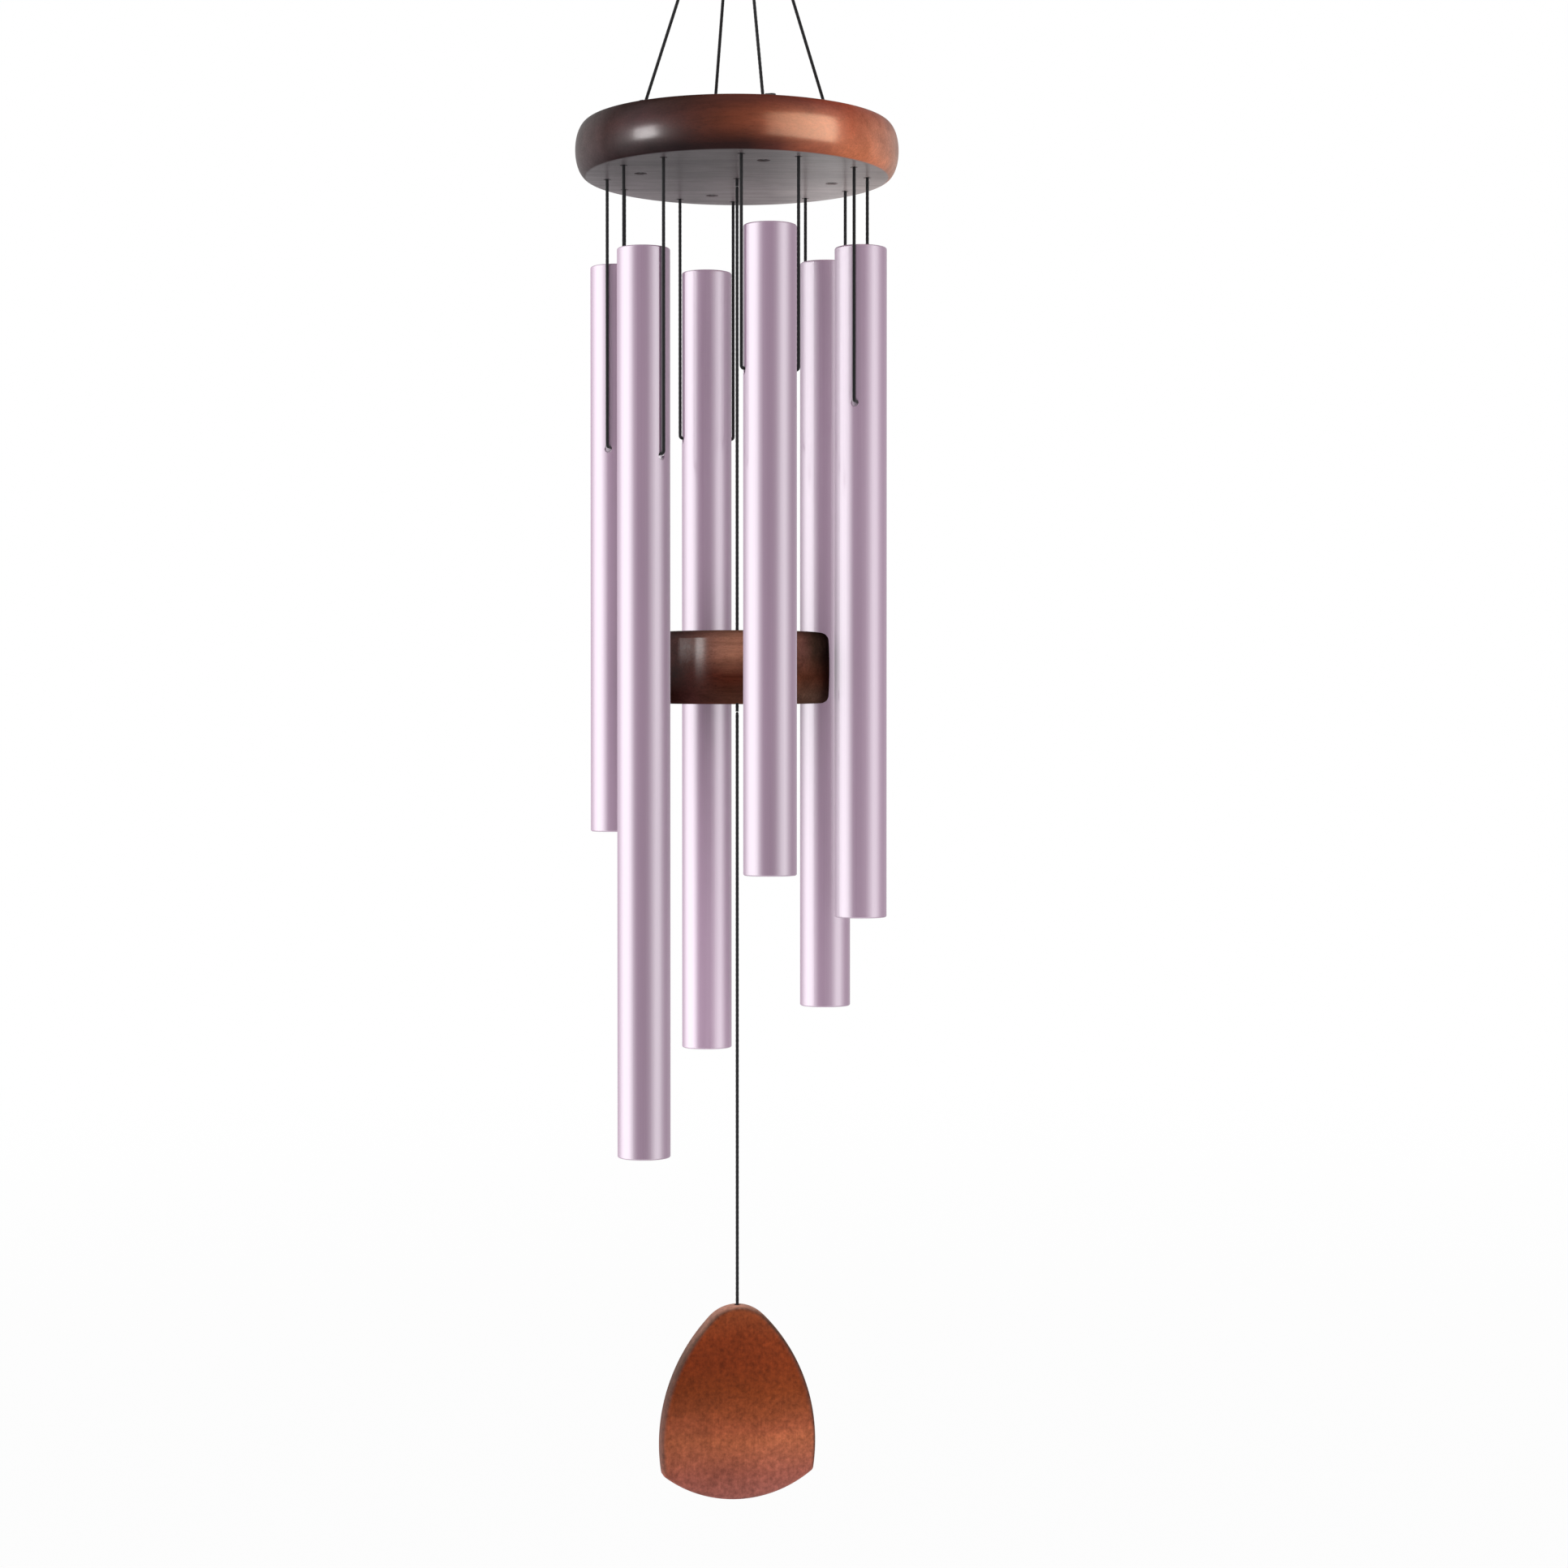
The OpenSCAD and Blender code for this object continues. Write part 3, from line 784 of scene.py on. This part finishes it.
def disc_drill(x, y, counterbore=False, ease=0.35 * MM):
    """A cord hole through the disc with eased mouths, and a counterbore from below."""
    past = 2 * MM
    wide = COUNTERBORE_R if counterbore else CORD_HOLE_R
    profile = [(0.0, DISC_LO - past), (wide + ease * 2, DISC_LO - past),
               (wide + ease * 2, DISC_LO - ease), (wide, DISC_LO + ease)]
    if counterbore:
        seat = DISC_LO + COUNTERBORE_DEPTH
        profile += [(wide, seat), (CORD_HOLE_R, seat)]
    mouth = CORD_HOLE_R + ease * 2
    profile += [(CORD_HOLE_R, DISC_HI - ease), (mouth, DISC_HI + ease), (mouth, DISC_HI + past),
                (0.0, DISC_HI + past)]
    return revolve(profile, 40, (x, y, 0))


def build_disc():
    half = (DISC_HI - DISC_LO) / 2
    middle = (DISC_HI + DISC_LO) / 2
    profile = [(0.0, DISC_LO)] + [(r, DISC_LO) for r in DISC_RINGS]
    for degrees in np.linspace(-90, 90, 61):
        angle = math.radians(degrees)
        profile.append((DISC_R - DISC_EDGE + DISC_EDGE * math.cos(angle),
                        middle + half * math.sin(angle)))
    profile += [(r, DISC_HI) for r in reversed(DISC_RINGS)] + [(0.0, DISC_HI)]
    disc = new_mesh("top_disc_turned", *revolve(profile, 256), DISC_MAT)
    cutters = [disc_drill(0, 0)]
    for angle in SUSPENSION_ANGLES:
        cutters.append(disc_drill(SUSPENSION_R * math.cos(angle), SUSPENSION_R * math.sin(angle),
                                  counterbore=True, ease=0.25 * MM))
    for tube in TUBES:
        for side in (-1, 1):
            x, y, _ = beside_tube(tube, side * STRAND, 0)
            cutters.append(disc_drill(x, y))
    cut(disc, cutters, "disc_drill")
    shade(disc.data, 28)
    place(disc, "canopy", "disc_wood", "top_disc")


# ---------------------------------------------------------------- tubes and their cords

TUBE_EDGE_OUT, TUBE_EDGE_IN = 0.9 * MM, 0.35 * MM    # rounding of the tube's rims
CROSS_R, CROSS_EASE = 1.75 * MM, 0.3 * MM            # hole across the tube, and its mouths
CROSS_DROP = 0.9 * MM                                # of the hole below the cord
TIE_WIDTH, TIE_LENGTH, TIE_HEIGHT = 5.0 * MM, 5.8 * MM, 3.3 * MM


def build_tube(tube):
    edge, rim, low, top = TUBE_EDGE_OUT, TUBE_EDGE_IN, tube["low"], tube["top"]
    profile = fillet(TUBE_R - edge, low + edge, edge, -90, 0, 9)
    profile += fillet(TUBE_R - edge, top - edge, edge, 0, 90, 9)
    profile += fillet(TUBE_IN + rim, top - rim, rim, 90, 180, 5)
    profile += fillet(TUBE_IN + rim, low + rim, rim, 180, 270, 5)
    name = f"tube_{tube['number']}"
    ob = new_mesh(name + "_drawn", *revolve(profile, 128, (tube["x"], tube["y"], 0), closed=True),
                  TUBE_MAT, 40)
    cos, sin = math.cos(tube["angle"]), math.sin(tube["angle"])
    past = 2 * MM
    straight = TUBE_R - CROSS_EASE - 0.1 * MM
    flare = TUBE_R - 0.05 * MM
    wide = CROSS_R + 2 * CROSS_EASE
    profile = [(0.0, -TUBE_R - past), (wide, -TUBE_R - past), (CROSS_R + CROSS_EASE, -flare),
               (CROSS_R, -straight), (CROSS_R, straight), (CROSS_R + CROSS_EASE, flare),
               (wide, TUBE_R + past), (0.0, TUBE_R + past)]
    at = (tube["x"], tube["y"], tube["cord_z"] - CROSS_DROP)
    cut(ob, [revolve(profile, 36, at, [(cos, sin, 0), (0, 0, 1), (sin, -cos, 0)])], "tube_drill")
    shade(ob.data, 40)
    place(ob, name, "tube_aluminium", name)
    ob.visible_glossy = False


def tube_loop(tube, ends_z, bar_z, radius):
    """Two strands joined by a straight run at bar_z."""
    return round_path([beside_tube(tube, STRAND, ends_z), beside_tube(tube, STRAND, bar_z),
                       beside_tube(tube, -STRAND, bar_z), beside_tube(tube, -STRAND, ends_z)],
                      radius)


def build_tube_cord(tube):
    """From the disc's underside down, and across through the tube."""
    k = tube["number"]
    path = tube_loop(tube, DISC_LO, tube["cord_z"], 1.4 * MM)
    cord_piece(f"tube_cord_{k}_braid", [braid(path, round_start=True, round_end=True, phase=k)],
               f"cord_{k}", f"tube_cord_{k}")


def build_tube_tie(tube):
    """The same cord up through the disc, with a flattened knot on the top face."""
    k = tube["number"]
    path = tube_loop(tube, DISC_LO + CORD_R + 0.2 * MM, DISC_HI + CORD_R + 0.05 * MM, 1.6 * MM)
    axis = (-math.sin(tube["angle"]), math.cos(tube["angle"]), 0)
    verts, faces = overhand((0, 0, 0), size=TIE_WIDTH, height=TIE_LENGTH, axis=axis, turn=0.5 + k)
    verts[:, 2] *= TIE_HEIGHT / TIE_WIDTH
    knot = verts + beside_tube(tube, 0, DISC_HI + 1.75 * MM), faces
    cord_piece(f"tube_tie_{k}_braid", [braid(path, phase=k * 0.7), knot], "canopy",
               f"tube_tie_{k}")


# ---------------------------------------------------------------- clapper and centre cords

CLAP_EDGE = 4 * MM
CLAP_CROWN = 0.4 * MM                                # bulge of the turned wall
RECESS_R, RECESS_DEPTH = 3.6 * MM, 5.6 * MM          # for the knot, from below


def build_center_tie():
    """The knot on the disc, and its cord down through the disc."""
    parts = [overhand((0, 0, DISC_HI + 2.35 * MM), size=4.8 * MM, height=4.5 * MM, turn=0.3),
             upright(DISC_HI + 4.6 * MM, DISC_LO + 1.0 * MM, phase=0.5)]
    cord_piece("center_tie_braid", parts, "canopy", "center_tie")


def build_cord_top(line):
    """The short cord between a line's two swing joints."""
    swing_x, swing_y = JOINTS[f"{line}_swing_x"].z, JOINTS[f"{line}_swing_y"].z
    cord_piece(f"{line}_cord_top_braid",
               [upright(swing_y + CORD_R + 0.1 * MM, swing_x, round_end=True)],
               f"{line}_line_top", f"{line}_cord_top")


def build_clapper_cord():
    knot_top = CLAP_LO + RECESS_DEPTH - 0.05 * MM
    parts = [upright(knot_top - 1.5 * MM, JOINTS["clapper_swing_y"].z, round_end=True),
             overhand((0, 0, knot_top - 2.5 * MM), size=5.6 * MM, height=4.9 * MM, turn=1.1),
             upright(knot_top - 4.9 * MM, knot_top - 3 * MM)]
    cord_piece("clapper_cord_braid", parts, "clapper_line", "clapper_cord")


def build_clapper():
    ease, rings = 0.4 * MM, (14 * MM, 28 * MM)
    seat = CLAP_LO + RECESS_DEPTH
    half_wall = (CLAP_HI - CLAP_LO) / 2 - CLAP_EDGE
    middle = (CLAP_HI + CLAP_LO) / 2
    edge_r = CLAP_R - CLAP_CROWN - CLAP_EDGE
    profile = [(CORD_HOLE_R, seat), (RECESS_R, seat), (RECESS_R, CLAP_LO + ease),
               (RECESS_R + 0.5 * MM, CLAP_LO)]
    profile += [(r, CLAP_LO) for r in rings]
    profile += fillet(edge_r, CLAP_LO + CLAP_EDGE, CLAP_EDGE, -90, 0, 20)
    profile += [(CLAP_R - CLAP_CROWN * (k / 12.0) ** 2, middle + half_wall * k / 12.0)
                for k in range(-11, 12)]
    profile += fillet(edge_r, CLAP_HI - CLAP_EDGE, CLAP_EDGE, 0, 90, 20)
    profile += [(r, CLAP_HI) for r in reversed(rings)]
    profile += [(CORD_HOLE_R + 0.5 * MM, CLAP_HI), (CORD_HOLE_R, CLAP_HI - ease)]
    clapper = new_mesh("clapper_turned", *revolve(profile, 192, closed=True), CLAPPER_MAT)
    place(clapper, "clapper", "clapper_wood", "clapper")
    clapper.visible_glossy = False


# ---------------------------------------------------------------- wind sail

# The outline is symmetric: a round tip on top, two long side arcs and a sagging foot.
# Heights are from the level of the side arcs' centres.
SIDE_R = SAIL_W * 1.1518
SIDE_X = SIDE_R - SAIL_W / 2                         # the side arc's centre is this far across
TIP_R = SAIL_W * 0.2421
TIP_Z = math.sqrt((SIDE_R - TIP_R) ** 2 - SIDE_X ** 2)
CORNER_Z = -SAIL_W * 0.1872
CORNER_X = math.sqrt(SIDE_R ** 2 - CORNER_Z ** 2) - SIDE_X
FOOT_SAG = SAIL_W * 0.1702
FOOT_R = (CORNER_X ** 2 + FOOT_SAG ** 2) / (2 * FOOT_SAG)
FOOT_Z = CORNER_Z - FOOT_SAG + FOOT_R
CORNER_EASE = 1.1 * MM
SAIL_EDGE_R = 3.2 * MM
SAIL_NOD = JOINTS["sail_nod"].z
POCKET_Z = SAIL_NOD - 12 * MM
POCKET_R = 4 * MM


def build_sail_cords():
    twist, gap = JOINTS["sail_twist"].z, 0.05 * MM
    build_cord_top("sail")
    cord_piece("sail_cord_braid",
               [upright(twist + gap, JOINTS["sail_swing_y"].z, round_end=True)],
               "sail_line", "sail_cord")
    cord_piece("sail_cord_end_braid", [upright(SAIL_NOD, twist - gap, round_start=True)],
               "sail_line_end", "sail_cord_end")
    knot_z = SAIL_NOD - 10.4 * MM
    parts = [upright(knot_z, SAIL_NOD - CORD_R - 0.2 * MM),
             overhand((0, 0, knot_z), size=4.0 * MM, height=3.9 * MM, turn=0.4)]
    cord_piece("sail_tie_braid", parts, "sail", "sail_tie")


def sail_outline(inset):
    """The outline moved inwards by inset, with its two lower corners eased.
    It always has the same number of points."""
    side_r, foot_r = SIDE_R - inset, FOOT_R - inset
    # the corner, where the side and foot arcs cross
    apart = math.hypot(SIDE_X, FOOT_Z)
    along = (side_r * side_r - foot_r * foot_r + apart * apart) / (2 * apart)
    off = math.sqrt(side_r * side_r - along * along)
    unit_x, unit_z = SIDE_X / apart, FOOT_Z / apart
    x = -SIDE_X + along * unit_x + off * unit_z
    z = along * unit_z - off * unit_x

    tip_end = math.atan2(TIP_Z, SIDE_X)
    side_end = math.atan2(z, x + SIDE_X) + CORNER_EASE / side_r
    foot_start = math.atan2(z - FOOT_Z, x) - CORNER_EASE / foot_r
    half = arc(0, TIP_Z, TIP_R - inset, np.linspace(math.pi / 2, tip_end, 14))
    half += arc(-SIDE_X, 0, side_r, np.linspace(tip_end, side_end, 34)[1:])
    start, corner = np.array(half[-1]), np.array([x, z])
    end = np.array(arc(0, FOOT_Z, foot_r, [foot_start])[0])
    half += [tuple((1 - t) ** 2 * start + 2 * (1 - t) * t * corner + t * t * end)
             for t in np.linspace(0, 1, 8)[1:]]
    half += arc(0, FOOT_Z, foot_r, np.linspace(foot_start, -math.pi / 2, 18)[1:])
    return half + [(-x, z) for x, z in reversed(half[1:-1])]


def build_sail():
    cos, sin = math.cos(SAIL_TURN), math.sin(SAIL_TURN)
    lift = SAIL_HI - (TIP_Z + TIP_R)
    edge = SAIL_EDGE_R
    rows = []
    # from the front face (-Y) round the edge to the back face
    for side, angles in ((-1, np.linspace(90, 0, 13)), (1, np.linspace(0, 90, 13))):
        for angle in np.radians(angles):
            y = side * (SAIL_T / 2 - edge + edge * math.sin(angle))
            rows.append([(x * cos - y * sin, x * sin + y * cos, lift + z)
                         for x, z in sail_outline(edge - edge * math.cos(angle))])
    count = len(rows[0])
    verts = [v for row in rows for v in row]
    faces = []
    for i in range(len(rows) - 1):
        for j in range(count):
            j2 = (j + 1) % count
            faces.append((i * count + j, i * count + j2, (i + 1) * count + j2,
                          (i + 1) * count + j))
    faces.append(tuple(range(count)))
    faces.append(tuple(range((len(rows) - 1) * count, len(rows) * count))[::-1])
    sail = new_mesh("wind_sail_board", verts, faces, SAIL_MAT)

    # the cord's hole, from the top down to the pocket
    bore, mouth, above = 1.3 * MM, 1.9 * MM, SAIL_NOD + 3 * MM
    profile = [(0.0, POCKET_Z), (bore, POCKET_Z), (bore, SAIL_NOD - 0.5 * MM),
               (mouth, SAIL_NOD + 0.3 * MM), (mouth, above), (0.0, above)]
    cut(sail, [revolve(profile, 32)], "sail_drill")

    # the knot's round pocket, open at the back
    floor, ease, past = -2.5 * MM, 0.3 * MM, SAIL_T / 2 + 3 * MM
    mouth = POCKET_R + 2 * ease
    profile = [(0.0, floor), (POCKET_R, floor), (POCKET_R, SAIL_T / 2 - ease),
               (mouth, SAIL_T / 2 + ease), (mouth, past), (0.0, past)]
    axes = [(cos, sin, 0), (0, 0, 1), (-sin, cos, 0)]
    cut(sail, [revolve(profile, 48, (0, 0, POCKET_Z), axes)], "sail_pocket_drill")
    shade(sail.data, 28)
    place(sail, "sail", "sail_wood", "wind_sail")


build_ring()
build_hitch()
build_gather()
build_suspension()
build_disc()
for tube in TUBES:
    build_tube(tube)
    build_tube_cord(tube)
    build_tube_tie(tube)
build_center_tie()
build_cord_top("clapper")
build_clapper_cord()
build_clapper()
build_sail_cords()
build_sail()

# ---------------------------------------------------------------- floor and world

FLOOR_HALF, FLOOR_DROP = 6, 0.10


def build_floor():
    """A pale floor, seen only by the camera and only from above, that fades into white."""
    z, half = cad_box[0][2] - FLOOR_DROP, FLOOR_HALF
    mesh = bpy.data.meshes.new("studio_floor")
    mesh.from_pydata([(-half, -half, z), (half, -half, z), (half, half, z), (-half, half, z)],
                     [], [(0, 1, 2, 3)])
    floor = bpy.data.objects.new("studio_floor", mesh)
    scene.collection.objects.link(floor)
    material = bpy.data.materials.new("pale_floor")
    graph = Graph(material)
    graph.tree.nodes.clear()
    diffuse = graph.add("BsdfDiffuse", Color=(0.9, 0.9, 0.9)).outputs[0]
    glow = graph.add("Emission", Color=(1, 1, 1), Strength=1.0).outputs[0]
    clear = graph.add("BsdfTransparent").outputs[0]
    path = graph.add("LightPath").outputs
    geometry = graph.add("NewGeometry").outputs
    away = graph.add("VectorMath", geometry["Position"], operation="LENGTH").outputs["Value"]
    fade = graph.add("MapRange", interpolation_type="SMOOTHSTEP", From_Min=0.8, From_Max=3.0,
                     To_Min=0.95, To_Max=1.0, Value=away).outputs[0]
    look = graph.mix_shader(fade, diffuse, glow)
    seen = graph.mix_shader(path["Is Camera Ray"], clear, look)
    graph.add("OutputMaterial", graph.mix_shader(geometry["Backfacing"], seen, clear))
    mesh.materials.append(material)


# Light round the horizon: (degrees from the -Y side, positive towards +X; brightness)
BANDS = [
    (-180, 0.60), (-152, 0.50), (-136, 0.62), (-120, 1.05), (-102, 1.75), (-84, 1.95),
    (-66, 1.80), (-54, 1.30), (-43, 0.58), (-32, 0.22), (-18, 0.14), (0, 0.14), (14, 0.16),
    (26, 0.30), (38, 0.62), (50, 1.02), (62, 1.22), (74, 1.08), (88, 0.62), (104, 0.28),
    (124, 0.24), (150, 0.46), (180, 0.60)]
BANDS_GAIN = 2.0            # the ramp holds brightness divided by this
OVERHEAD, BELOW = 0.30, 0.65


def build_world():
    """White to the camera. What the chime mirrors is a studio of light and grey bands."""
    world = bpy.data.worlds.new("studio")
    scene.world = world
    graph = Graph(world)
    graph.tree.nodes.clear()
    way = graph.split(graph.add("TexCoord").outputs["Generated"])
    azimuth = graph.calc("ARCTAN2", way["X"], graph.calc("MULTIPLY", way["Y"], -1.0))
    share = graph.calc("ADD", graph.calc("DIVIDE", azimuth, 2 * math.pi), 0.5)
    ramp = graph.ramp(share, [(deg / 360 + 0.5, value / BANDS_GAIN) for deg, value in BANDS])
    ramp.node.color_ramp.interpolation = "B_SPLINE"
    side = graph.add("VectorMath", ramp, operation="SCALE", Scale=BANDS_GAIN).outputs[0]
    up = graph.span(way["Z"], 0.55, 0.92)
    down = graph.span(way["Z"], -0.45, -0.85)
    lit = graph.mix(up, side, (OVERHEAD,) * 3)
    lit = graph.mix(down, lit, (BELOW,) * 3)
    studio = graph.add("Background", Color=lit, Strength=1.0).outputs[0]
    white = graph.add("Background", Color=(1, 1, 1)).outputs[0]
    camera_ray = graph.add("LightPath").outputs["Is Camera Ray"]
    graph.add("OutputWorld", graph.mix_shader(camera_ray, studio, white))


build_floor()
build_world()

# ---------------------------------------------------------------- lights and camera


def area(name, at, to, size, power, colour=(1, 1, 1)):
    """An area light of size (width, height), seen by neither the camera nor reflections."""
    light = bpy.data.lights.new(name, "AREA")
    light.color = colour
    light.energy = power
    light.shape = "RECTANGLE"
    light.size, light.size_y = size
    ob = bpy.data.objects.new(name, light)
    scene.collection.objects.link(ob)
    ob.location = at
    ob.rotation_mode = "QUATERNION"
    ob.rotation_quaternion = (Vector(to) - Vector(at)).to_track_quat("-Z", "Y")
    ob.visible_camera = False
    ob.visible_glossy = False
    return ob


def light_only(light, *pieces):
    """Light linking: the light reaches the named pieces only."""
    group = bpy.data.collections.new(light.name + "_on")
    for piece in pieces:
        group.objects.link(bpy.data.objects[piece])
    light.light_linking.receiver_collection = group


def lacquer_box(name, piece, **settings):
    """A light that shows only as a reflection in one piece's lacquer."""
    light = area(name, **settings)
    light.visible_glossy = True
    light.visible_diffuse = False
    light_only(light, piece)


def front_fill(name, power, *tubes):
    """A soft light from the -Y side, for some of the tubes."""
    light = area(name, at=(0.3, -2.0, -0.45), to=(0, 0, -0.45), size=(1.4, 1.6), power=power)
    light_only(light, *[f"tube_{k}_drawn" for k in tubes])


area("key_soft", at=(-1.5, -1.5, 0.7), to=(0, 0, -0.45), size=(2.4, 1.8), power=11)
area("fill_soft", at=(1.8, -1.4, 0.0), to=(0, 0, -0.4), size=(2.2, 1.8), power=12,
     colour=(1.0, 0.96, 0.91))
lacquer_box("left_box", "top_disc_turned", at=(-1.35, -0.64, -0.255), to=(0, 0, -0.19),
            size=(0.46, 0.50), power=86.0)
lacquer_box("right_box", "top_disc_turned", at=(1.10, -1.02, -0.10), to=(0, 0, -0.19),
            size=(1.50, 1.30), power=90.0, colour=(1.0, 0.80, 0.56))
lacquer_box("clapper_box", "clapper_turned", at=(-1.27, -0.80, -0.27), to=(0, 0, -0.44),
            size=(0.95, 0.12), power=24.0)
front_fill("fill_sides", 9.5, 1, 5, 6)
front_fill("fill_back", 15.0, 3)

CAMERA_DIP = 0.786          # degrees below the horizon
camera_data = bpy.data.cameras.new("camera")
camera_data.sensor_width = 36
camera_data.lens = 69.58
camera_data.clip_start, camera_data.clip_end = 0.05, 60
camera = bpy.data.objects.new("camera", camera_data)
scene.collection.objects.link(camera)
camera.location = (0.0231, -1.4944, -0.4782)
camera.rotation_euler = (math.radians(90 - CAMERA_DIP), 0, 0)
scene.camera = camera
scene.view_settings.view_transform = "Standard"
scene.view_settings.look = "None"
